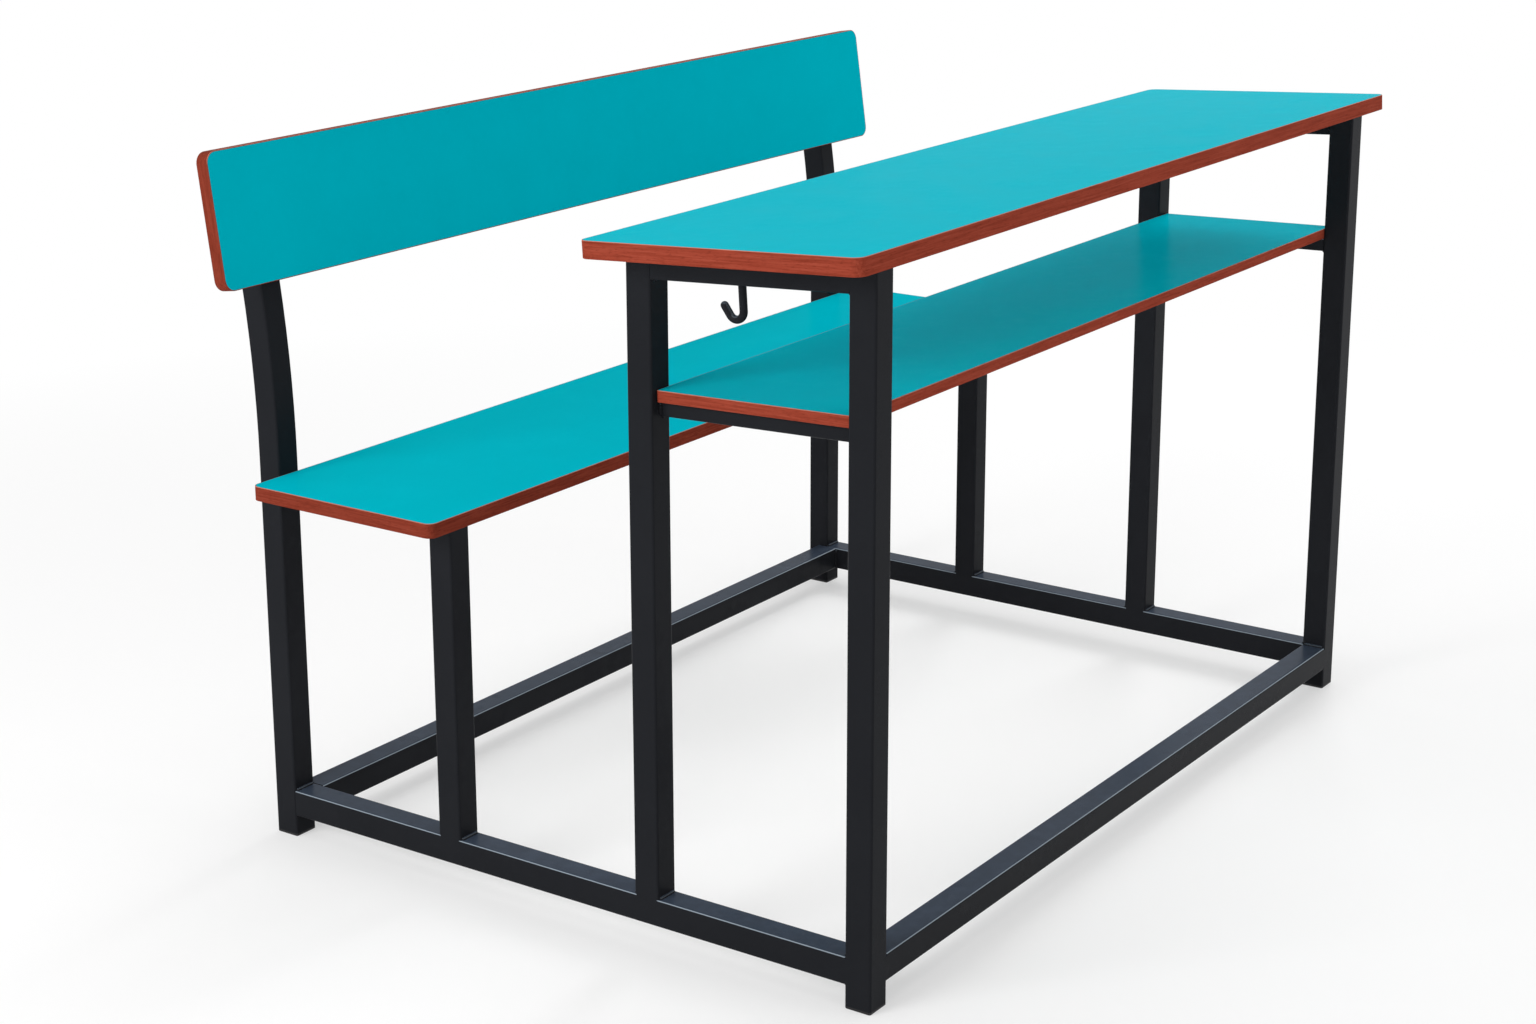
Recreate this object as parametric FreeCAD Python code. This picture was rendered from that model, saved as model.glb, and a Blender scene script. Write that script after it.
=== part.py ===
import FreeCAD, Part
import math
import os

from FreeCAD import Placement, Rotation, Vector

# School desk with an attached bench, in millimetres.
# X runs along the desk, -Y is the desk's front, +Y is the bench's back and +Z is up.
# While the pieces are made, Y is zero at the front faces of the front legs and Z is zero on the floor.

# Square steel tube
frame_tube = 30.0  # legs, posts and floor rails
apron_tube = 25.0
bearer_tube = 20.0  # seat rails and the two stretchers
shelf_rail_tube = 16.0
tube_wall = 1.5
tube_corner_radius = 2.5
tube_inner_radius_share = 0.4

# Frame layout, with places measured from the front legs' front faces to a leg's own front face
frame_length = 1114.0  # between the outer faces of the two side frames
inner_leg_place = 256.0
bench_leg_place = 520.0
post_place = 762.0
floor_gap = 25.0  # from the floor to the floor rails
bearer_inset = 14.0  # from a side frame's outer face to its shelf and seat rails

# Boards
board_end_overhang = 43.0  # desk top and seat past the side frames
skin_thickness = 1.0  # laminate and backer sheet
band_thickness = 1.0  # edge band
band_arris = 0.6  # rounding along the band's long edges

# Desk top, which slopes down towards the bench
top_front_height = 760.0
top_slope = 3.5  # degrees
top_thickness = 18.0
top_front_overhang = 10.0
top_rear_overhang = 24.0
top_corner_radius = 11.0

# Book shelf, between the front legs and the inner legs
shelf_drop = 162.0  # from the desk top's front edge down to the shelf's front edge
shelf_slope = 2.0  # degrees
shelf_thickness = 12.0
shelf_end_inset = 7.0  # from a side frame's outer face to the end of the shelf
shelf_corner_radius = 3.0

# Seat, whose rear edge lies against the rear posts
seat_height = 422.0
seat_thickness = 16.0
seat_front_overhang = 12.0
seat_corner_radius = 10.0

# Backrest, on the bent upper part of the rear posts
backrest_rise = 213.0  # from the seat's face to the backrest's lower edge
backrest_height = 148.0
backrest_end_overhang = 65.0  # past the side frames
backrest_thickness = 16.0
backrest_corner_radius = 13.0
post_lean = 8.0  # degrees
post_bend_rise = 15.0  # from the seat's face to the start of the bend
post_top_drop = 16.0  # from the backrest's upper edge down to the post cap

# Plastic plugs in the open tube ends
plug_flange = 3.0
plug_depth = 12.0
plug_clearance = 0.1
plug_edge_share = 0.4

# Bag hook of round rod
hook_rod = 8.0
hook_stem = 26.5
hook_bend_radius = 8.5  # to the rod's centre line
hook_turn = 147.0  # degrees
hook_tip = 11.0
hook_place_share = 0.575  # of the apron, from its front end

# Countersunk screws, driven through the tubes into the boards
screw_shank = 4.0
screw_head = 8.0
screw_head_height = 2.4
screw_clearance = 0.5
screw_point_share = 0.5
screw_bite_share = 0.6
recess_width_share = 0.16
recess_length_share = 0.6
recess_depth_share = 0.5
rail_screw_shares = (0.2, 0.8)
stretcher_screw_shares = (-0.5, 0.5)
post_screw_shares = (0.25, 0.75)

# How far a cutting body runs past what it cuts
cut_overrun = 5.0

# Directions and turns
x_axis = Vector(1, 0, 0)
y_axis = Vector(0, 1, 0)
z_axis = Vector(0, 0, 1)
quarter_turn = 90.0
sides = {"left": -1, "right": 1}

# Sizes that follow from the ones above
half_length = frame_length / 2
tube_inner_radius = tube_corner_radius * tube_inner_radius_share
board_length = frame_length + 2 * board_end_overhang
backrest_length = frame_length + 2 * backrest_end_overhang
rail_top = floor_gap + frame_tube
top_tilt = math.radians(top_slope)
shelf_tilt = math.radians(shelf_slope)
post_tilt = math.radians(post_lean)
top_depth = (top_front_overhang + inner_leg_place + frame_tube + top_rear_overhang) / math.cos(top_tilt)
shelf_front = frame_tube + shelf_thickness * math.sin(shelf_tilt)
shelf_front_height = top_front_height - shelf_drop
shelf_depth = (inner_leg_place - shelf_front) / math.cos(shelf_tilt)
seat_front = bench_leg_place - seat_front_overhang
seat_depth = post_place - seat_front
seat_underside = seat_height - seat_thickness
bench_leg_back = bench_leg_place + frame_tube
bend_start = seat_height + post_bend_rise
bend_height = backrest_rise - post_bend_rise
bend_radius = bend_height / math.sin(post_tilt)  # along the post's front face
post_upper_length = backrest_height - post_top_drop - plug_flange
bend_end_place = post_place + bend_radius * (1 - math.cos(post_tilt))
bend_end_height = bend_start + bend_height

# Each board's own frame: X along the board, Y from its front or lower edge, Z out of its laminate face
top_frame = Placement(Vector(0, -top_front_overhang, top_front_height), Rotation(x_axis, -top_slope))
shelf_frame = Placement(Vector(0, shelf_front, shelf_front_height), Rotation(x_axis, -shelf_slope))
seat_frame = Placement(Vector(0, seat_front, seat_height), Rotation())
backrest_corner = Vector(
    0,
    bend_end_place - backrest_thickness * math.cos(post_tilt),
    bend_end_height + backrest_thickness * math.sin(post_tilt),
)
backrest_frame = Placement(backrest_corner, Rotation(x_axis, quarter_turn - post_lean))

pieces = {}


def placed(shape, placement):
    """Copy of a shape, carried from a local frame into the frame it is given."""
    copy = shape.copy()
    copy.Placement = placement.multiply(copy.Placement)
    return copy


def rounded_rectangle(width, depth, radius):
    """Closed wire, centred on the origin in the XY plane."""
    reach_x = width / 2 - radius
    reach_y = depth / 2 - radius
    corners = ((reach_x, reach_y), (-reach_x, reach_y), (-reach_x, -reach_y), (reach_x, -reach_y))
    arcs = []
    for index, (x, y) in enumerate(corners):
        start = index * quarter_turn
        arcs.append(Part.makeCircle(radius, Vector(x, y, 0), z_axis, start, start + quarter_turn))
    edges = []
    for index, arc in enumerate(arcs):
        following = arcs[(index + 1) % len(arcs)]
        edges.append(arc)
        edges.append(Part.makeLine(arc.Vertexes[-1].Point, following.Vertexes[0].Point))
    return Part.Wire(edges)


def slab(width, depth, radius, low, high):
    """Rounded plate centred on the Z axis, from one height to another."""
    face = Part.Face(rounded_rectangle(width, depth, radius))
    plate = face.extrude(Vector(0, 0, high - low))
    plate.translate(Vector(0, 0, low))
    return plate


def tube_section(size):
    """Ring face of a square tube, centred on the origin in the XY plane."""
    bore = size - 2 * tube_wall
    outer = Part.Face(rounded_rectangle(size, size, tube_corner_radius))
    return outer.cut(Part.Face(rounded_rectangle(bore, bore, tube_inner_radius))).Faces[0]


def upright_tube(size, x, front, low, high):
    tube = tube_section(size).extrude(Vector(0, 0, high - low))
    tube.translate(Vector(x, front + size / 2, low))
    return tube


def tube_along_y(size, x, front, back, low):
    tube = tube_section(size).extrude(Vector(0, 0, back - front))
    turn = Placement(Vector(x, front, low + size / 2), Rotation(x_axis, -quarter_turn))
    return placed(tube, turn)


def tube_along_x(size, half, y, low):
    tube = tube_section(size).extrude(Vector(0, 0, 2 * half))
    turn = Placement(Vector(-half, y, low + size / 2), Rotation(y_axis, quarter_turn))
    return placed(tube, turn)


def tube_x(side, inset, size):
    """X of the middle of a tube whose outer face is set in from the side frame's outer face."""
    return side * (half_length - inset - size / 2)


def space_between(front, back):
    """Tall block between two upright planes, longer than the frame."""
    corner = Vector(-half_length - cut_overrun, front, 0)
    return Part.makeBox(frame_length + 2 * cut_overrun, back - front, top_front_height, corner)


def make_board(name, frame, length, depth, thickness, radius, screws):
    """Core, laminate, backer and edge band of one board, bored for its screws."""
    inner_length = length - 2 * band_thickness
    inner_depth = depth - 2 * band_thickness
    inner_radius = radius - band_thickness
    middle = Placement(Vector(0, depth / 2, 0), Rotation())
    to_place = frame.multiply(middle)

    blank = slab(length, depth, radius, -thickness, 0)
    long_edges = [edge for edge in blank.Edges if edge.Vertexes[0].Z == edge.Vertexes[-1].Z]
    window = slab(inner_length, inner_depth, inner_radius, -thickness - cut_overrun, cut_overrun)
    band = blank.makeFillet(band_arris, long_edges).cut(window)

    layers = {
        "core": (skin_thickness - thickness, -skin_thickness),
        "laminate": (-skin_thickness, 0),
        "backer": (-thickness, skin_thickness - thickness),
    }
    pieces[name + "_edge_band"] = placed(band, to_place)
    for layer, (low, high) in layers.items():
        sheet = placed(slab(inner_length, inner_depth, inner_radius, low, high), to_place)
        if layer != "laminate":
            sheet = sheet.cut(screws)
        pieces[name + "_" + layer] = sheet


def screw_seat():
    """Cone of a countersunk head, from its flat face in the XY plane up to the shank."""
    return Part.makeCone(screw_head / 2, screw_shank / 2, screw_head_height)


def make_screw(length):
    """Countersunk screw: its flat head lies in the XY plane and its point is at the top."""
    point = screw_shank * screw_point_share
    shank_length = length - point - screw_head_height
    shank = Part.makeCylinder(screw_shank / 2, shank_length, Vector(0, 0, screw_head_height))
    tip = Part.makeCone(screw_shank / 2, 0, point, Vector(0, 0, length - point))
    head = screw_seat()
    width = screw_head * recess_width_share
    reach = screw_head * recess_length_share
    depth = screw_head_height * recess_depth_share
    for long_x, long_y in ((reach, width), (width, reach)):
        corner = Vector(-long_x / 2, -long_y / 2, -cut_overrun)
        head = head.cut(Part.makeBox(long_x, long_y, depth + cut_overrun, corner))
    return head.fuse([shank, tip]).removeSplitter()


def make_screws(frame, places, tube, thickness):
    """Screws through tubes under a board, and the clearance holes that the tubes need."""
    screw = make_screw(tube + thickness * screw_bite_share)
    hole_radius = screw_shank / 2 + screw_clearance
    screws = []
    holes = []
    for x, y in places:
        spot = frame.multiply(Placement(Vector(x, y, -thickness - tube), Rotation()))
        screws.append(placed(screw, spot))
        bore = Part.makeCylinder(hole_radius, tube + cut_overrun, Vector(0, 0, -cut_overrun))
        holes.append(placed(bore.fuse(screw_seat()), spot))
    return screws, holes


def make_plug():
    """Square tube plug: flange below the XY plane and body above it, inside the tube."""
    flange = slab(frame_tube, frame_tube, tube_corner_radius, -plug_flange, 0)
    rim = [edge for edge in flange.Edges if max(vertex.Z for vertex in edge.Vertexes) < 0]
    flange = flange.makeFillet(plug_flange * plug_edge_share, rim)
    body_size = frame_tube - 2 * tube_wall - 2 * plug_clearance
    body = slab(body_size, body_size, tube_inner_radius, 0, plug_depth)
    return flange.fuse(body)


def make_hook():
    """Rod hook that hangs down from the origin, with its open tip turned towards +Y."""
    bend_end = math.radians(hook_turn)
    centre = Vector(0, hook_bend_radius, -hook_stem)

    def on_bend(turn):
        return centre + Vector(0, -math.cos(turn), -math.sin(turn)) * hook_bend_radius

    stem_end = on_bend(0)
    bend_stop = on_bend(bend_end)
    tip_direction = Vector(0, math.sin(bend_end), -math.cos(bend_end))
    tip_end = bend_stop + tip_direction * hook_tip
    path = Part.Wire([
        Part.makeLine(Vector(0, 0, 0), stem_end),
        Part.Arc(stem_end, on_bend(bend_end / 2), bend_stop).toShape(),
        Part.makeLine(bend_stop, tip_end),
    ])
    section = Part.Wire(Part.makeCircle(hook_rod / 2, Vector(0, 0, 0), z_axis))
    rod = path.makePipeShell([section], True, False)
    dome = Part.makeSphere(hook_rod / 2, tip_end, tip_direction, 0, quarter_turn)
    return rod.fuse(dome)


def rear_post(side):
    """Post that stands upright to above the seat, then bends back behind the backrest."""
    x = tube_x(side, 0, frame_tube)
    lower = upright_tube(frame_tube, x, post_place, plug_flange, bend_start)
    section = tube_section(frame_tube)
    section.translate(Vector(x, post_place + frame_tube / 2, bend_start))
    bend_axis = Vector(0, post_place + bend_radius, bend_start)
    bend = section.revolve(bend_axis, x_axis, -post_lean)
    upper = tube_along_y(frame_tube, x, 0, post_upper_length, -backrest_thickness - frame_tube)
    return lower.fuse([bend, placed(upper, backrest_frame)]).removeSplitter()


# Screws and their holes, worked out first because tubes and boards are bored for them
apron_span = inner_leg_place - frame_tube
apron_start = top_front_overhang + frame_tube
seat_rail_start = bench_leg_back - seat_front
seat_rail_span = post_place - bench_leg_back
desk_stretcher_half = half_length - apron_tube
seat_stretcher_half = half_length - bearer_inset - bearer_tube
desk_stretcher_place = top_depth / 2
seat_stretcher_place = seat_rail_start + seat_rail_span / 2


def rail_places(inset, size, start, span, shares):
    """Screw places along the middle lines of a left and a right tube."""
    return [(tube_x(side, inset, size), start + span * share) for side in sides.values() for share in shares]


def stretcher_places(half, y):
    return [(half * share, y) for share in stretcher_screw_shares]


apron_screws, apron_holes = make_screws(
    top_frame,
    rail_places(0, apron_tube, apron_start, apron_span, rail_screw_shares),
    apron_tube,
    top_thickness,
)
desk_stretcher_screws, desk_stretcher_holes = make_screws(
    top_frame, stretcher_places(desk_stretcher_half, desk_stretcher_place), bearer_tube, top_thickness
)
shelf_screws, shelf_holes = make_screws(
    shelf_frame,
    rail_places(bearer_inset, shelf_rail_tube, 0, shelf_depth, rail_screw_shares),
    shelf_rail_tube,
    shelf_thickness,
)
seat_rail_screws, seat_rail_holes = make_screws(
    seat_frame,
    rail_places(bearer_inset, bearer_tube, seat_rail_start, seat_rail_span, rail_screw_shares),
    bearer_tube,
    seat_thickness,
)
seat_stretcher_screws, seat_stretcher_holes = make_screws(
    seat_frame, stretcher_places(seat_stretcher_half, seat_stretcher_place), bearer_tube, seat_thickness
)
post_screws, post_holes = make_screws(
    backrest_frame,
    rail_places(0, frame_tube, 0, post_upper_length, post_screw_shares),
    frame_tube,
    backrest_thickness,
)
screw_groups = {
    "desk_top": apron_screws + desk_stretcher_screws,
    "book_shelf": shelf_screws,
    "seat": seat_rail_screws + seat_stretcher_screws,
    "backrest": post_screws,
}
for name, group in screw_groups.items():
    pieces[name + "_screws"] = Part.makeCompound(group)

# Two side frames
above_top = Part.makeBox(
    board_length, 2 * top_depth, top_front_height, Vector(-board_length / 2, -top_depth / 2, -top_thickness)
)
above_top = placed(above_top, top_frame)
desk_bay = space_between(frame_tube, inner_leg_place)
plug = make_plug()

for side_name, side in sides.items():
    frame_x = tube_x(side, 0, frame_tube)
    apron_x = tube_x(side, 0, apron_tube)
    seat_rail_x = tube_x(side, bearer_inset, bearer_tube)
    shelf_rail_x = tube_x(side, bearer_inset, shelf_rail_tube)

    front_leg = upright_tube(frame_tube, frame_x, 0, plug_flange, top_front_height)
    pieces["front_leg_" + side_name] = front_leg.cut(above_top)
    inner_leg = upright_tube(frame_tube, frame_x, inner_leg_place, rail_top, top_front_height)
    pieces["inner_leg_" + side_name] = inner_leg.cut(above_top)
    bench_leg = upright_tube(frame_tube, frame_x, bench_leg_place, rail_top, seat_underside)
    pieces["bench_leg_" + side_name] = bench_leg
    pieces["rear_post_" + side_name] = rear_post(side).cut(post_holes)
    side_rail = tube_along_y(frame_tube, frame_x, frame_tube, post_place, floor_gap)
    pieces["floor_side_rail_" + side_name] = side_rail

    apron = placed(tube_along_y(apron_tube, apron_x, 0, top_depth, -top_thickness - apron_tube), top_frame)
    pieces["desk_apron_" + side_name] = apron.common(desk_bay).cut(apron_holes)
    shelf_rail_low = -shelf_thickness - shelf_rail_tube
    shelf_rail = tube_along_y(
        shelf_rail_tube, shelf_rail_x, -frame_tube, shelf_depth + frame_tube, shelf_rail_low
    )
    shelf_rail = placed(shelf_rail, shelf_frame)
    pieces["shelf_rail_" + side_name] = shelf_rail.common(desk_bay).cut(shelf_holes)
    seat_rail_low = seat_underside - bearer_tube
    seat_rail = tube_along_y(bearer_tube, seat_rail_x, bench_leg_back, post_place, seat_rail_low)
    pieces["seat_rail_" + side_name] = seat_rail.cut(seat_rail_holes)

    for foot_name, front in (("front", 0), ("rear", post_place)):
        foot_spot = Placement(Vector(frame_x, front + frame_tube / 2, plug_flange), Rotation())
        pieces["foot_plug_" + foot_name + "_" + side_name] = placed(plug, foot_spot)
    cap_height = -backrest_thickness - frame_tube / 2
    cap_spot = Placement(Vector(frame_x, post_upper_length, cap_height), Rotation(x_axis, quarter_turn))
    pieces["post_cap_" + side_name] = placed(plug, backrest_frame.multiply(cap_spot))

# Bag hook under the left apron
hook_x = tube_x(sides["left"], 0, apron_tube)
hook_place = apron_start + apron_span * hook_place_share
hook_spot = Placement(Vector(hook_x, hook_place, -top_thickness - apron_tube), Rotation())
pieces["bag_hook"] = placed(make_hook(), top_frame.multiply(hook_spot))

# Rails and stretchers that join the side frames
pieces["floor_front_rail"] = tube_along_x(frame_tube, half_length - frame_tube, frame_tube / 2, floor_gap)
pieces["floor_rear_rail"] = tube_along_x(frame_tube, half_length - frame_tube, post_place, floor_gap)
desk_stretcher_low = -top_thickness - bearer_tube
desk_stretcher = tube_along_x(bearer_tube, desk_stretcher_half, desk_stretcher_place, desk_stretcher_low)
pieces["desk_stretcher"] = placed(desk_stretcher, top_frame).cut(desk_stretcher_holes)
seat_stretcher_low = -seat_thickness - bearer_tube
seat_stretcher = tube_along_x(bearer_tube, seat_stretcher_half, seat_stretcher_place, seat_stretcher_low)
pieces["seat_stretcher"] = placed(seat_stretcher, seat_frame).cut(seat_stretcher_holes)

# Boards
shelf_length = frame_length - 2 * shelf_end_inset
boards = (
    ("desk_top", top_frame, board_length, top_depth, top_thickness, top_corner_radius),
    ("book_shelf", shelf_frame, shelf_length, shelf_depth, shelf_thickness, shelf_corner_radius),
    ("seat", seat_frame, board_length, seat_depth, seat_thickness, seat_corner_radius),
    (
        "backrest",
        backrest_frame,
        backrest_length,
        backrest_height,
        backrest_thickness,
        backrest_corner_radius,
    ),
)
for name, frame, length, depth, thickness, radius in boards:
    make_board(name, frame, length, depth, thickness, radius, screw_groups[name])

# The origin is the middle of the whole part's footprint, on the floor
whole = Part.makeCompound(list(pieces.values())).optimalBoundingBox()
to_origin = Vector(-whole.Center.x, -whole.Center.y, -whole.ZMin)
os.makedirs("parts", exist_ok=True)
for name, shape in pieces.items():
    shape.translate(to_origin)
    shape.exportStep("parts/" + name + ".step")
print("nodes", len(pieces), "size", whole.XLength, whole.YLength, whole.ZLength, "moved", to_origin)
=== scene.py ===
import math

import bmesh
import bpy
from mathutils import Matrix, Vector


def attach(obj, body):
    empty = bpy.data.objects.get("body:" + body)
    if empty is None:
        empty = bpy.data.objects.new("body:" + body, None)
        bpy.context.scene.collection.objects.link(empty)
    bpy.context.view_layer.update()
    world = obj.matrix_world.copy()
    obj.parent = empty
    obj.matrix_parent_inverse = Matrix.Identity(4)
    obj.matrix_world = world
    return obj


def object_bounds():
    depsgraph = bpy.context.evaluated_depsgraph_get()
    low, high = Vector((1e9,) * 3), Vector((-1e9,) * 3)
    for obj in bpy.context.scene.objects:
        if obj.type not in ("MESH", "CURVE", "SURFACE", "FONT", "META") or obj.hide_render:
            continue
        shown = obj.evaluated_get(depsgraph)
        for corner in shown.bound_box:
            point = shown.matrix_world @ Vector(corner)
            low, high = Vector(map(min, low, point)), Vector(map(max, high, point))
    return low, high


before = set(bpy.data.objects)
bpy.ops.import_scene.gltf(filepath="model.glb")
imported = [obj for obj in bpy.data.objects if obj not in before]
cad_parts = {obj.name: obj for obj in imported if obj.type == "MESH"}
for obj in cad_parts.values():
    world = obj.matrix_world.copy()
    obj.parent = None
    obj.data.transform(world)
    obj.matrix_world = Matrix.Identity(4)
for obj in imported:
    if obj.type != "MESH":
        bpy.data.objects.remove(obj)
cad_low, cad_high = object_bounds()

# School desk with an attached bench: finishes, weld beads, studio and camera.
# Metres and degrees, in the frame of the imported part: X along the desk, -Y its front and +Z up.

# Camera
lens_mm = 64.27
sensor_mm = 36.0
camera_place = Vector((-2.609, -1.6974, 1.255))
camera_azimuth = 55.50
camera_elevation = 15.11
camera_roll = -0.10
camera_shift_y = -0.06

# Studio
floor_radius = 14.0
floor_sides = 96
floor_color = (0.97, 0.97, 0.97, 1)
floor_roughness = 0.9
floor_specular = 0.0
floor_fade = (0.9, 2.4)  # distances from the desk's middle
floor_glow_shares = (0.45, 1.0)  # of the white backdrop in the floor, near the desk and far from it
white = (1, 1, 1, 1)
ambient_strength = 0.53
backdrop_strength = 1.0
lamps = {
    "left_lamp": {"place": Vector((-2.9, 0.7, 1.6)), "size": 1.6, "power": 48.0},
    "right_lamp": {"place": Vector((2.9, 0.2, 2.7)), "size": 1.6, "power": 48.0},
    "top_lamp": {"place": Vector((-0.2, -0.1, 3.4)), "size": 2.6, "power": 6.0},
    "front_lamp": {"place": Vector((0.4, -3.4, 1.8)), "size": 2.2, "power": 19.0},
}
aim_point = Vector((0.0, 0.0, 0.4))

# Weld beads
weld_leg = 0.0025
weld_bulge_share = 0.16
weld_sink_share = 0.35
weld_pitch = 0.0034
weld_ripple_share = 0.10
weld_station = 0.0006
weld_fewest_stations = 2
weld_sides = 6
weld_end_share = 0.30
tube_corner_radius = 0.0025
same_plane = 0.0004
ring_steps = 40
ring_ripples = 4
ring_size_share = 0.7

# Finishes: noise scales are cells per metre, *_limits are the low and high ends of a ramp,
# *_slopes are ramps on a part of the surface's normal and *_bump is a strength and a depth.
whole = (0.0, 1.0)
noise_limits = (0.30, 0.70)  # most of a noise lies between these

# Powder coat
coat_dark = (0.0120, 0.0128, 0.0152, 1)
coat_light = (0.0161, 0.0172, 0.0203, 1)
coat_painted_sheen = (0.042, 0.057, 0.084, 1)  # painted sheen on faces that look up, in place of their reflection
coat_painted_highlight = (0.320, 0.380, 0.440, 1)  # painted highlight on upper arrises
coat_roughness = (0.22, 0.34)
coat_specular = 0.026
coat_peel = {"scale": 620.0, "detail": 1.5}
coat_grit = {"scale": 2600.0, "detail": 1.0}
coat_clouds = {"scale": 9.0, "detail": 3.0}
coat_patches = {"scale": 55.0, "detail": 4.0}
coat_patch_limits = (0.42, 0.66)
coat_sheen_shares = (0.85, 1.0)  # of the full painted sheen, between the patches and in them
coat_sheen_slopes = (0.75, 0.97)
coat_highlight_slopes = (0.40, 0.60)
coat_arris_slopes = (0.10, 0.24)
coat_grit_share = 0.25
coat_gloss_limits = (0.35, 0.90)
coat_peel_bump = (0.14, 0.0004)
coat_grit_bump = (0.05, 0.0001)
# Strength of the painted arris highlight on the tubes and on the welds and hook.
tube_highlight_strength = 1.0
weld_highlight_strength = 0.2

# Laminate
laminate_deep = (0.0, 0.465, 0.566, 1)
laminate_bright = (0.0, 0.490, 0.596, 1)
laminate_roughness = (0.20, 0.30)
laminate_speculars = {"desk_top": 0.0005, "book_shelf": 0.0005, "seat": 0.0002, "backrest": 0.0002}
# Laminate colour per board, lighter above one and darker below, as painted light and shade.
laminate_painted_shading = {"desk_top": 1.03, "book_shelf": 1.08, "seat": 0.95, "backrest": 0.95}
laminate_stipple = {"scale": 1500.0, "detail": 1.0}
laminate_mottle = {"scale": 16.0, "detail": 4.0, "roughness": 0.6}
laminate_mottle_share = 0.5
laminate_limits = (0.35, 0.65)
laminate_bump = (0.04, 0.0001)

# Edge band
band_dark = (0.190, 0.029, 0.015, 1)
band_middle = (0.275, 0.047, 0.026, 1)
band_light = (0.325, 0.064, 0.038, 1)
band_pore = (0.120, 0.018, 0.009, 1)
# Painted highlight on the band's upper arrises.
band_painted_highlight = (0.720, 0.300, 0.225, 1)
band_roughness = (0.40, 0.55)
band_specular = 0.004
# Band colour per board, lighter above one and darker below, as painted light and shade: lighter on the desk
# top and shelf, darker on the seat and backrest.
band_painted_shading = {"desk_top": 1.07, "book_shelf": 1.06, "seat": 0.78, "backrest": 0.78}
band_grain = {"along": 16.0, "across": 520.0, "detail": 4.0, "distortion": 0.6}
band_pores = {"along": 130.0, "across": 1500.0, "detail": 2.0, "distortion": 0.0}
band_noise_roughness = 0.6
band_middle_limits = (0.28, 0.52)
band_light_limits = (0.52, 0.74)
band_pore_limits = (0.56, 0.68)
band_pore_shares = (0.0, 0.60)
band_end_slopes = (0.62, 0.78)
band_arris_slopes = (0.20, 0.50)  # towards the board's face, where the painted arris highlight starts
band_face_slopes = (0.85, 0.97)  # towards the board's face, where the arris ends
# The painted arris highlight is kept to arrises that look up.
band_highlight_upward_slopes = (0.05, 0.45)
band_grain_bump = (0.10, 0.0003)
band_pore_bump = (0.12, -0.0002)

# Backer
backer_dark = (0.76, 0.76, 0.74, 1)
backer_light = (0.85, 0.85, 0.83, 1)
backer_roughness = (0.55, 0.70)
backer_specular = 0.25
backer_fibre_scales = (30.0, 160.0, 160.0)
backer_fibre_detail = 4.0
backer_fibre_share = 0.7
backer_speckle = {"scale": 900.0, "detail": 1.0}
backer_limits = (0.32, 0.68)
backer_bump = (0.10, 0.0002)

# Core
core_dark = (0.30, 0.20, 0.11, 1)
core_light = (0.62, 0.48, 0.31, 1)
core_roughness = (0.75, 0.95)
core_specular = 0.2
core_chip_scale = 420.0
core_bump = (0.4, 0.0006)

# Plugs
plug_dark = (0.012, 0.012, 0.013, 1)
plug_light = (0.024, 0.024, 0.026, 1)
plug_roughness = (0.48, 0.66)
plug_specular = 0.3
plug_texture = {"scale": 1100.0, "detail": 2.0}
plug_scuffs = {"scale": 140.0, "detail": 2.0}
plug_scuff_limits = (0.40, 0.65)
plug_arris_slopes = (0.04, 0.22)
plug_bump = (0.2, 0.0003)

# Screws
zinc_dark = (0.46, 0.47, 0.47, 1)
zinc_light = (0.70, 0.70, 0.67, 1)
zinc_roughness = (0.24, 0.42)
zinc_specular = 0.5
zinc_mottle = {"scale": 420.0, "detail": 3.0}
zinc_bump = (0.06, 0.0002)

# Sockets of the mix node, which has a set for numbers and a set for colours
mix_share = 0
mix_numbers = (2, 3)
mix_number = 0
mix_colors = (6, 7)
mix_color = 2


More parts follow.
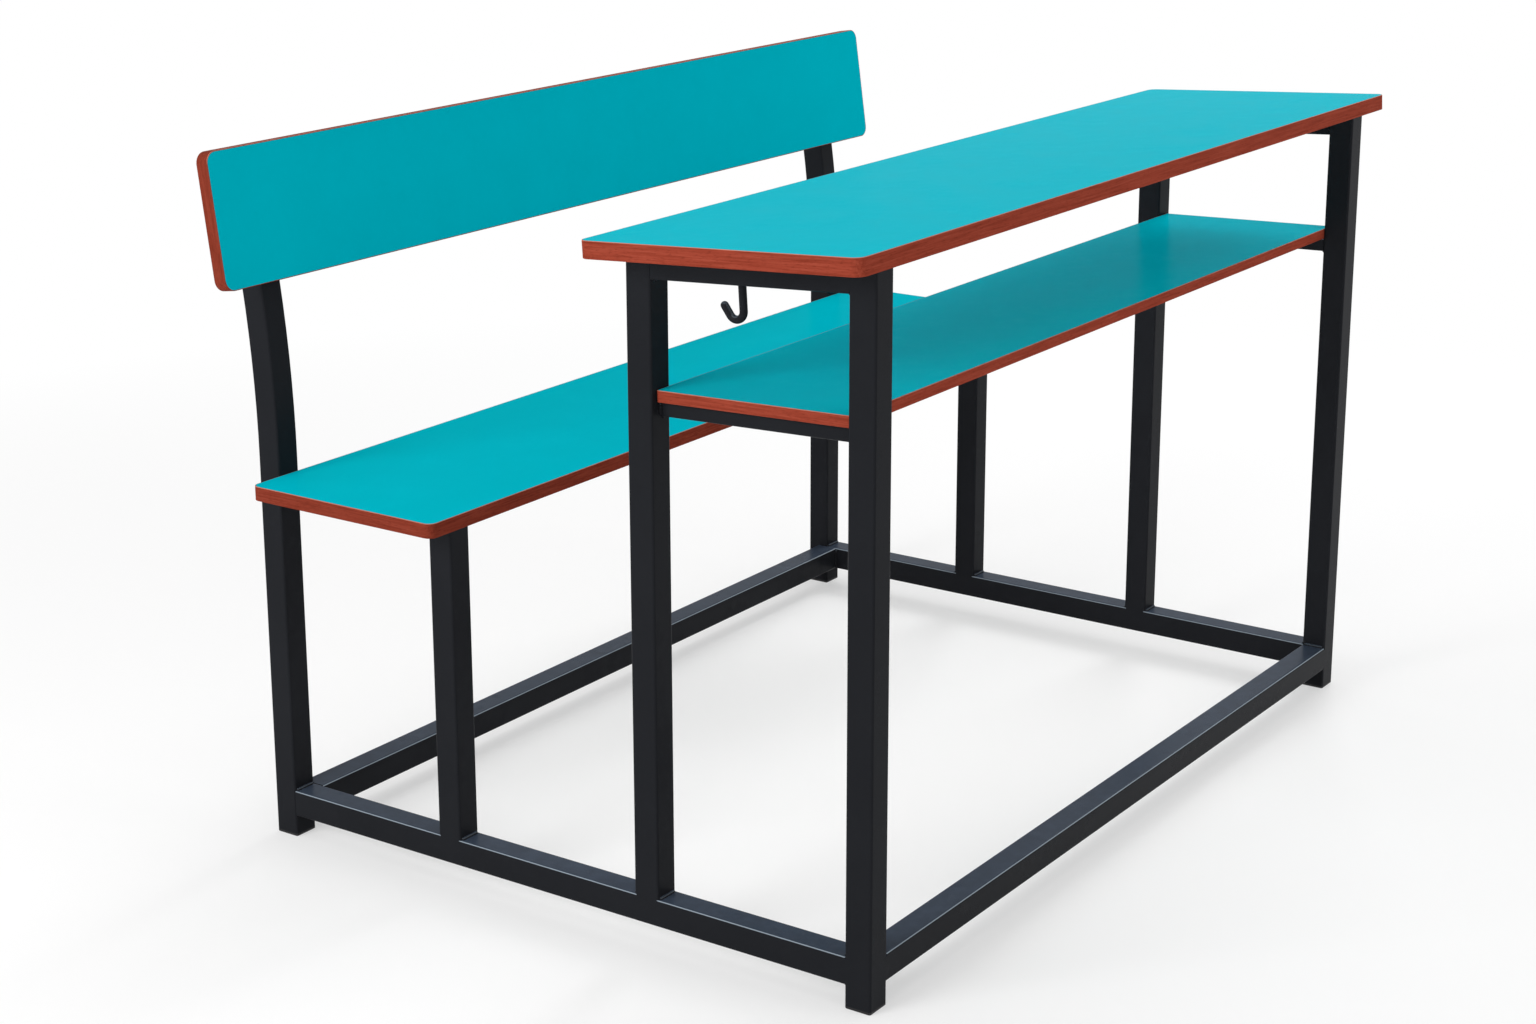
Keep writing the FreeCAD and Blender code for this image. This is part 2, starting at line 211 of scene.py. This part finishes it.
class Finish:
    """Node tree of one material, with short calls for the nodes that the finishes share."""

    def __init__(self, name):
        self.material = bpy.data.materials.new(name)
        self.material.use_nodes = True
        self.tree = self.material.node_tree
        self.shader = self.tree.nodes["Principled BSDF"]
        coordinates = self.add("ShaderNodeTexCoord")
        self.place = coordinates.outputs["Object"]
        self.normal = coordinates.outputs["Normal"]

    def feed(self, socket, value):
        if isinstance(value, bpy.types.NodeSocket):
            self.tree.links.new(value, socket)
        else:
            socket.default_value = value

    def add(self, kind, inputs=None, **settings):
        node = self.tree.nodes.new(kind)
        for key, value in settings.items():
            setattr(node, key, value)
        for key, value in (inputs or {}).items():
            self.feed(node.inputs[key], value)
        return node

    def math(self, operation, first, second=0.0):
        node = self.add("ShaderNodeMath", {0: first, 1: second}, operation=operation)
        return node.outputs[0]

    def weighted(self, first, second, first_share):
        """Sum of two values, the first by its share and the second by the rest."""
        return self.math(
            "ADD",
            self.math("MULTIPLY", first, first_share),
            self.math("MULTIPLY", second, 1 - first_share),
        )

    def stretched(self, scales, turn=0.0):
        """The place on the object, turned about X and then scaled along each axis."""
        turned = self.add("ShaderNodeMapping", {"Vector": self.place, "Rotation": (turn, 0, 0)})
        scaled = self.add("ShaderNodeMapping", {"Vector": turned.outputs[0], "Scale": scales})
        return scaled.outputs[0]

    def noise(self, scale=1.0, detail=2.0, roughness=0.5, distortion=0.0, vector=None):
        inputs = {
            "Vector": vector or self.place,
            "Scale": scale,
            "Detail": detail,
            "Roughness": roughness,
            "Distortion": distortion,
        }
        return self.add("ShaderNodeTexNoise", inputs).outputs["Fac"]

    def span(self, value, limits, results=whole):
        """A ramp from the first result to the second as the value goes from limit to limit."""
        inputs = {
            "Value": value,
            "From Min": limits[0],
            "From Max": limits[1],
            "To Min": results[0],
            "To Max": results[1],
        }
        return self.add("ShaderNodeMapRange", inputs, clamp=True).outputs["Result"]

    def blend(self, share, first, second):
        """Mix of two colours."""
        inputs = {mix_share: share, mix_colors[0]: first, mix_colors[1]: second}
        return self.add("ShaderNodeMix", inputs, data_type="RGBA", clamp_factor=True).outputs[mix_color]

    def blend_numbers(self, share, first, second):
        inputs = {mix_share: share, mix_numbers[0]: first, mix_numbers[1]: second}
        return self.add("ShaderNodeMix", inputs).outputs[mix_number]

    def arris(self, slopes):
        """One on rounded edges, zero on faces square to an axis or nearly so."""
        size = self.add("ShaderNodeVectorMath", {0: self.normal}, operation="ABSOLUTE").outputs[0]
        axes = self.add("ShaderNodeSeparateXYZ", {0: size}).outputs
        largest = self.math("MAXIMUM", self.math("MAXIMUM", axes["X"], axes["Y"]), axes["Z"])
        return self.span(self.math("SUBTRACT", 1.0, largest), slopes)

    def bump(self, height, relief, under=None):
        strength, depth = relief
        inputs = {"Height": height, "Strength": strength, "Distance": depth}
        if under:
            inputs["Normal"] = under
        return self.add("ShaderNodeBump", inputs).outputs["Normal"]

    def finish(self, color, roughness, normal, specular, metallic=0.0):
        self.feed(self.shader.inputs["Base Color"], color)
        self.feed(self.shader.inputs["Roughness"], roughness)
        self.feed(self.shader.inputs["Normal"], normal)
        self.shader.inputs["Specular IOR Level"].default_value = specular
        self.shader.inputs["Metallic"].default_value = metallic
        return self.material


def shaded(color, share):
    """The same colour, lighter or darker by a share."""
    return tuple(part * share for part in color[:3]) + color[3:]


def board_tilt(board):
    """Angle about X that turns a level board into this one, from its largest face."""
    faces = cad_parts[board + "_laminate"].data.polygons
    normal = max(faces, key=lambda face: face.area).normal
    if normal.z < 0:
        normal = -normal
    return math.atan2(-normal.y, normal.z)


def powder_coat(name, highlight_strength):
    """Satin black powder coat: orange peel, cloudy gloss, a painted blue-grey sheen on faces that look up
    and a painted highlight on the upper arrises.
    """
    look = Finish(name)
    peel = look.noise(**coat_peel)
    grit = look.noise(**coat_grit)
    clouds = look.noise(**coat_clouds)
    patches = look.span(look.noise(**coat_patches), coat_patch_limits)
    upwards = look.add("ShaderNodeSeparateXYZ", {0: look.normal}).outputs["Z"]
    # Painted sheen: a light blue-grey colour on faces that look up, in place of their reflection, a little
    # weaker between the patches.
    sheen_share = look.span(patches, whole, coat_sheen_shares)
    painted_sheen = look.math("MULTIPLY", look.span(upwards, coat_sheen_slopes), sheen_share)
    # Painted highlight: a pale colour on rounded arrises that look up.
    highlight_share = look.span(upwards, coat_highlight_slopes, (0.0, highlight_strength))
    painted_highlight = look.math("MULTIPLY", look.arris(coat_arris_slopes), highlight_share)
    color = look.blend(clouds, coat_dark, coat_light)
    color = look.blend(painted_sheen, color, coat_painted_sheen)
    color = look.blend(painted_highlight, color, coat_painted_highlight)
    dullness = look.math("ADD", clouds, look.math("MULTIPLY", grit, coat_grit_share))
    roughness = look.span(dullness, coat_gloss_limits, coat_roughness)
    normal = look.bump(peel, coat_peel_bump)
    normal = look.bump(grit, coat_grit_bump, normal)
    return look.finish(color, roughness, normal, coat_specular)


def laminate(board):
    """Teal laminate: fine stipple and faint mottling, less glossy on the boards that are sat on and leaned
    on, and lighter or darker per board as painted light and shade.
    """
    look = Finish(board + "_teal_laminate")
    painted_shading_share = laminate_painted_shading[board]
    stipple = look.noise(**laminate_stipple)
    mottle = look.noise(**laminate_mottle)
    shade = look.weighted(mottle, stipple, laminate_mottle_share)
    # Laminate colours scaled by the board's painted light and shade.
    deep = shaded(laminate_deep, painted_shading_share)
    bright = shaded(laminate_bright, painted_shading_share)
    color = look.blend(look.span(shade, laminate_limits), deep, bright)
    roughness = look.span(shade, laminate_limits, laminate_roughness)
    normal = look.bump(stipple, laminate_bump)
    return look.finish(color, roughness, normal, laminate_speculars[board])


def edge_band(board):
    """Wood-look band whose grain runs along each edge of a board, which may be tilted about X, with a
    painted highlight on its upward-facing arrises and its colour made lighter or darker per board as painted
    light and shade.
    """
    look = Finish(board + "_band_wood")
    tilt = board_tilt(board)
    painted_shading_share = band_painted_shading[board]
    axes = look.add("ShaderNodeSeparateXYZ", {0: look.normal}).outputs
    at_end = look.span(look.math("ABSOLUTE", axes["X"]), band_end_slopes)

    def grain_noise(scales, detail, distortion):
        place = look.stretched(scales, -tilt)
        return look.noise(detail=detail, roughness=band_noise_roughness, distortion=distortion, vector=place)

    def along_edge(along, across, detail, distortion):
        long_side = grain_noise((along, across, across), detail, distortion)
        short_side = grain_noise((across, along, across), detail, distortion)
        return look.blend_numbers(at_end, long_side, short_side)

    # Painted highlight: a pale colour on the band's upward-facing arrises next to the board's face.
    board_normal = (0, -math.sin(tilt), math.cos(tilt))
    towards_face = {0: look.normal, 1: board_normal}
    slant = look.add("ShaderNodeVectorMath", towards_face, operation="DOT_PRODUCT").outputs["Value"]
    off_edge = look.span(slant, band_arris_slopes)
    off_face = look.span(slant, band_face_slopes, (1.0, 0.0))
    arris_highlight_share = look.math("MULTIPLY", off_edge, off_face)
    arris_highlight_share = look.math("MULTIPLY", arris_highlight_share, look.span(axes["Z"], band_highlight_upward_slopes))
    grain = along_edge(**band_grain)
    pores = along_edge(**band_pores)
    # Band colours scaled by the board's painted light and shade.
    dark = shaded(band_dark, painted_shading_share)
    middle = shaded(band_middle, painted_shading_share)
    color = look.blend(look.span(grain, band_middle_limits), dark, middle)
    color = look.blend(look.span(grain, band_light_limits), color, shaded(band_light, painted_shading_share))
    pore_share = look.span(pores, band_pore_limits, band_pore_shares)
    color = look.blend(pore_share, color, shaded(band_pore, painted_shading_share))
    color = look.blend(arris_highlight_share, color, band_painted_highlight)
    roughness = look.span(grain, noise_limits, band_roughness)
    normal = look.bump(grain, band_grain_bump)
    normal = look.bump(pore_share, band_pore_bump, normal)
    return look.finish(color, roughness, normal, band_specular)


def backer():
    """Plain backing sheet with faint fibres."""
    look = Finish("backing_sheet")
    fibres = look.noise(detail=backer_fibre_detail, vector=look.stretched(backer_fibre_scales))
    speckle = look.noise(**backer_speckle)
    shade = look.weighted(fibres, speckle, backer_fibre_share)
    color = look.blend(look.span(shade, backer_limits), backer_dark, backer_light)
    roughness = look.span(fibres, noise_limits, backer_roughness)
    return look.finish(color, roughness, look.bump(speckle, backer_bump), backer_specular)


def core():
    """Raw particle board: pressed chips."""
    look = Finish("particle_board")
    chip_inputs = {"Vector": look.place, "Scale": core_chip_scale}
    chips = look.add("ShaderNodeTexVoronoi", chip_inputs).outputs["Color"]
    shade = look.add("ShaderNodeSeparateColor", {0: chips}).outputs[0]
    color = look.blend(shade, core_dark, core_light)
    roughness = look.span(shade, whole, core_roughness)
    return look.finish(color, roughness, look.bump(shade, core_bump), core_specular)


def plug_plastic():
    """Black moulded plastic with a spark-eroded texture and scuffed edges."""
    look = Finish("moulded_plastic")
    texture = look.noise(**plug_texture)
    scuffs = look.span(look.noise(**plug_scuffs), plug_scuff_limits)
    scuffed = look.math("MULTIPLY", look.arris(plug_arris_slopes), scuffs)
    color = look.blend(scuffed, plug_dark, plug_light)
    roughness = look.span(texture, noise_limits, plug_roughness)
    return look.finish(color, roughness, look.bump(texture, plug_bump), plug_specular)


def zinc():
    """Zinc plated steel, slightly mottled."""
    look = Finish("zinc_plate")
    mottle = look.noise(**zinc_mottle)
    color = look.blend(look.span(mottle, noise_limits), zinc_dark, zinc_light)
    roughness = look.span(mottle, noise_limits, zinc_roughness)
    return look.finish(color, roughness, look.bump(mottle, zinc_bump), zinc_specular, metallic=1.0)


def dress(objects, material):
    """One material in place of those that the objects have."""
    for node in objects:
        node.data.materials.clear()
        node.data.materials.append(material)


def nodes_with(ending="", beginnings=("",)):
    """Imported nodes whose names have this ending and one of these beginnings."""
    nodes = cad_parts.items()
    return [node for name, node in nodes if name.endswith(ending) and name.startswith(beginnings)]


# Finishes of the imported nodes: all are coated steel but those that a later line names
boards = ("desk_top", "book_shelf", "seat", "backrest")
# The welds and the bag hook get a weaker painted arris highlight than the tubes.
steel = powder_coat("powder_coat", tube_highlight_strength)
bead_steel = powder_coat("powder_coat_on_welds", weld_highlight_strength)
dress(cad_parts.values(), steel)
dress(nodes_with("_backer"), backer())
dress(nodes_with("_core"), core())
dress(nodes_with("_screws"), zinc())
dress(nodes_with(beginnings=("foot_plug", "post_cap")), plug_plastic())
dress(nodes_with(beginnings=("bag_hook",)), bead_steel)
for board in boards:
    dress(nodes_with(board + "_laminate"), laminate(board))
    dress(nodes_with(board + "_edge_band"), edge_band(board))

# Directions out of a welded tube's sides: the axis and the sign
all_axes = (0, 1, 2)
x_axis, y_axis, z_axis = all_axes
up = (z_axis, 1)
down = (z_axis, -1)
front = (y_axis, -1)
back = (y_axis, 1)


def end_box(node, axis, high_end, turn):
    """Corners of a tube's end face, in the frame that turn carries into the part's frame."""
    to_local = turn.inverted()
    points = [to_local @ vertex.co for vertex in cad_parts[node].data.vertices]
    places = [point[axis] for point in points]
    plane = max(places) if high_end else min(places)
    face = [point for point in points if abs(point[axis] - plane) < same_plane]
    low = Vector([min(point[each] for point in face) for each in all_axes])
    high = Vector([max(point[each] for point in face) for each in all_axes])
    return low, high


def bead_section(size):
    """Fillet outline along its two legs: the sunk corner, then the bulged face."""
    outline = [(-weld_sink_share * size, -weld_sink_share * size)]
    for step in range(weld_sides + 1):
        share = step / weld_sides
        bulge = weld_bulge_share * math.sin(math.pi * share)
        outline.append(((1 - share + bulge) * size, (share + bulge) * size))
    return outline


def rippled(turns):
    """Leg of a bead after a number of ripples."""
    return weld_leg * (1 + weld_ripple_share * math.sin(2 * math.pi * turns))


def bead_rings(length):
    """Places along a straight bead and its size at each, rippled and drawn in at both ends."""
    count = max(weld_fewest_stations, round(length / weld_station))
    rings = []
    for index in range(count + 1):
        place = length * index / count
        from_end = length * min(index, count - index) / count
        nearest = min(from_end / weld_leg, 1)
        fullness = weld_end_share + (1 - weld_end_share) * math.sqrt(nearest * (2 - nearest))
        rings.append((place, rippled(place / weld_pitch) * fullness))
    return rings


def skin(mesh, rings, closed, smooth=True):
    """Quads between neighbouring rings of points, with flat caps where the row is open."""
    rows = [[mesh.verts.new(point) for point in ring] for ring in rings]
    pairs = list(zip(rows, rows[1:]))
    if closed:
        pairs.append((rows[-1], rows[0]))
    else:
        mesh.faces.new(rows[0])
        mesh.faces.new(rows[-1])
    for first, second in pairs:
        for index in range(len(first)):
            after = (index + 1) % len(first)
            face = mesh.faces.new((first[index], first[after], second[after], second[index]))
            face.smooth = smooth


def straight_bead(mesh, start, end, first_leg, second_leg):
    """Bead in the corner of two faces, with a leg on each."""
    length = (end - start).length
    direction = (end - start).normalized()
    rings = []
    for place, size in bead_rings(length):
        corner = start + direction * place
        outline = bead_section(size)
        rings.append([corner + first_leg * first + second_leg * second for first, second in outline])
    skin(mesh, rings, closed=False)


def ring_bead(mesh, centre, axis, radius):
    """Bead round a rod that stands on a face: one leg along the axis, one outwards."""
    across = axis.orthogonal().normalized()
    rings = []
    for index in range(ring_steps):
        outwards = Matrix.Rotation(2 * math.pi * index / ring_steps, 3, axis) @ across
        size = rippled(ring_ripples * index / ring_steps) * ring_size_share
        corner = centre + outwards * radius
        outline = bead_section(size)
        rings.append([corner + outwards * first + axis * second for first, second in outline])
    skin(mesh, rings, closed=True)


def flush_fill(mesh, start, end, into_other, inwards):
    """Weld ground flush in the groove between a tube's end and the rounded arris that it meets."""
    rings = []
    for corner in (start, end):
        on_other = corner + into_other * tube_corner_radius
        on_tube = corner + inwards * tube_corner_radius
        rings.append([corner, on_other, on_tube])
    skin(mesh, rings, closed=False, smooth=False)


def add_piece(name, mesh, material):
    """Object of a finished mesh, which rides on the part's one body."""
    bmesh.ops.recalc_face_normals(mesh, faces=mesh.faces)
    data = bpy.data.meshes.new(name)
    mesh.to_mesh(data)
    mesh.free()
    data.materials.append(material)
    piece = bpy.data.objects.new(name, data)
    bpy.context.scene.collection.objects.link(piece)
    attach(piece, "root")


def weld_end(node, axis, high_end, sides, flush_sides=(), tilt=0.0):
    """Beads along some sides of a tube's end that meets another tube, and fills along its flush sides."""
    turn = Matrix.Rotation(tilt, 3, "X")
    low, high = end_box(node, axis, high_end, turn)
    along_tube = Vector((0, 0, 0))
    along_tube[axis] = -1 if high_end else 1
    mesh = bmesh.new()
    for side_axis, sign in sides + flush_sides:
        run_axis = sum(all_axes) - axis - side_axis
        outwards = Vector((0, 0, 0))
        outwards[side_axis] = sign
        start = low.copy()
        end = high.copy()
        for point in (start, end):
            point[axis] = low[axis]
            point[side_axis] = high[side_axis] if sign > 0 else low[side_axis]
        start[run_axis] += tube_corner_radius
        end[run_axis] -= tube_corner_radius
        if (side_axis, sign) in sides:
            straight_bead(mesh, turn @ start, turn @ end, turn @ along_tube, turn @ outwards)
        else:
            flush_fill(mesh, turn @ start, turn @ end, turn @ -along_tube, turn @ -outwards)
    end_name = "high" if high_end else "low"
    add_piece("weld_" + node + "_" + end_name, mesh, bead_steel)


def weld_hook(node, tilt):
    """Ring of weld where a bag hook's stem meets the apron."""
    turn = Matrix.Rotation(tilt, 3, "X")
    low, high = end_box(node, z_axis, True, turn)
    centre = turn @ ((low + high) / 2)
    mesh = bmesh.new()
    ring_bead(mesh, centre, turn @ Vector((0, 0, -1)), (high.x - low.x) / 2)
    add_piece("weld_" + node, mesh, bead_steel)


# Welds of the side frames, the cross rails and the hook
top_tilt = board_tilt("desk_top")
for side_name, outer_sign in (("left", -1), ("right", 1)):
    outer = (x_axis, outer_sign)
    inner = (x_axis, -outer_sign)
    for leg in ("inner_leg_", "bench_leg_"):
        weld_end(leg + side_name, z_axis, False, (front, back), (outer, inner))
    for high_end in (False, True):
        rail_flush = () if high_end else (outer, inner)
        apron_flush = () if high_end else (outer,)
        weld_end("floor_side_rail_" + side_name, y_axis, high_end, (up, down), rail_flush)
        weld_end("desk_apron_" + side_name, y_axis, high_end, (down, inner), apron_flush)
        weld_end("shelf_rail_" + side_name, y_axis, high_end, (down, outer))
        weld_end("seat_rail_" + side_name, y_axis, high_end, (down, outer))
for high_end in (False, True):
    weld_end("floor_front_rail", x_axis, high_end, (up, down), (front, back))
    weld_end("floor_rear_rail", x_axis, high_end, (front,))
    weld_end("desk_stretcher", x_axis, high_end, (front, back), tilt=top_tilt)
    weld_end("seat_stretcher", x_axis, high_end, (front, back))
weld_hook("bag_hook", top_tilt)


def seen_directly(tree):
    """One for camera, glossy and transmission rays, which show the white surroundings."""
    path = tree.nodes.new("ShaderNodeLightPath")
    seen = path.outputs["Is Camera Ray"]
    for other in ("Is Glossy Ray", "Is Transmission Ray"):
        either = tree.nodes.new("ShaderNodeMath")
        either.operation = "MAXIMUM"
        tree.links.new(seen, either.inputs[0])
        tree.links.new(path.outputs[other], either.inputs[1])
        seen = either.outputs[0]
    return seen


def make_world():
    """Soft white light from all round, in front of a white backdrop."""
    world = bpy.data.worlds.new("studio")
    world.use_nodes = True
    tree = world.node_tree
    strength = tree.nodes.new("ShaderNodeMapRange")
    strength.inputs["To Min"].default_value = ambient_strength
    strength.inputs["To Max"].default_value = backdrop_strength
    background = tree.nodes["Background"]
    background.inputs["Color"].default_value = white
    tree.links.new(seen_directly(tree), strength.inputs["Value"])
    tree.links.new(strength.outputs["Result"], background.inputs["Strength"])
    bpy.context.scene.world = world


def make_floor():
    """Pale floor that keeps the shadow near the desk and fades to the white backdrop."""
    look = Finish("studio_floor")
    distance = look.add("ShaderNodeVectorMath", {0: look.place}, operation="LENGTH").outputs["Value"]
    fade = look.span(distance, floor_fade, floor_glow_shares)
    look.shader.inputs["Base Color"].default_value = floor_color
    look.shader.inputs["Roughness"].default_value = floor_roughness
    look.shader.inputs["Specular IOR Level"].default_value = floor_specular
    glow = look.add("ShaderNodeEmission", {"Color": white, "Strength": backdrop_strength})
    share = look.math("MULTIPLY", fade, seen_directly(look.tree))
    mixed = look.add("ShaderNodeMixShader", {0: share, 1: look.shader.outputs[0], 2: glow.outputs[0]})
    output = look.tree.nodes["Material Output"]
    look.feed(output.inputs["Surface"], mixed.outputs[0])

    mesh = bmesh.new()
    bmesh.ops.create_circle(mesh, cap_ends=True, segments=floor_sides, radius=floor_radius)
    data = bpy.data.meshes.new("floor")
    mesh.to_mesh(data)
    mesh.free()
    data.materials.append(look.material)
    floor = bpy.data.objects.new("floor", data)
    floor.location.z = cad_low.z
    bpy.context.scene.collection.objects.link(floor)


def make_lamp(name, place, size, power):
    """Round lamp that faces the desk."""
    lamp = bpy.data.lights.new(name, "AREA")
    lamp.shape = "DISK"
    lamp.size = size
    lamp.energy = power
    light = bpy.data.objects.new(name, lamp)
    light.location = place
    light.rotation_euler = (aim_point - place).to_track_quat("-Z", "Y").to_euler()
    bpy.context.scene.collection.objects.link(light)


def make_camera():
    """Camera that looks along an azimuth and down by an elevation, with a slight roll."""
    azimuth = math.radians(camera_azimuth)
    elevation = math.radians(camera_elevation)
    ahead = Vector((
        math.sin(azimuth) * math.cos(elevation),
        math.cos(azimuth) * math.cos(elevation),
        -math.sin(elevation),
    ))
    right = Vector((math.cos(azimuth), -math.sin(azimuth), 0))
    right = Matrix.Rotation(-math.radians(camera_roll), 3, ahead) @ right
    upwards = right.cross(ahead)
    turn = Matrix((right, upwards, -ahead)).transposed()
    lens = bpy.data.cameras.new("camera")
    lens.lens = lens_mm
    lens.sensor_width = sensor_mm
    lens.shift_y = camera_shift_y
    camera = bpy.data.objects.new("camera", lens)
    camera.matrix_world = Matrix.Translation(camera_place) @ turn.to_4x4()
    bpy.context.scene.collection.objects.link(camera)
    bpy.context.scene.camera = camera


make_world()
make_floor()
for lamp_name, lamp_values in lamps.items():
    make_lamp(lamp_name, **lamp_values)
make_camera()
bpy.context.scene.view_settings.view_transform = "Standard"
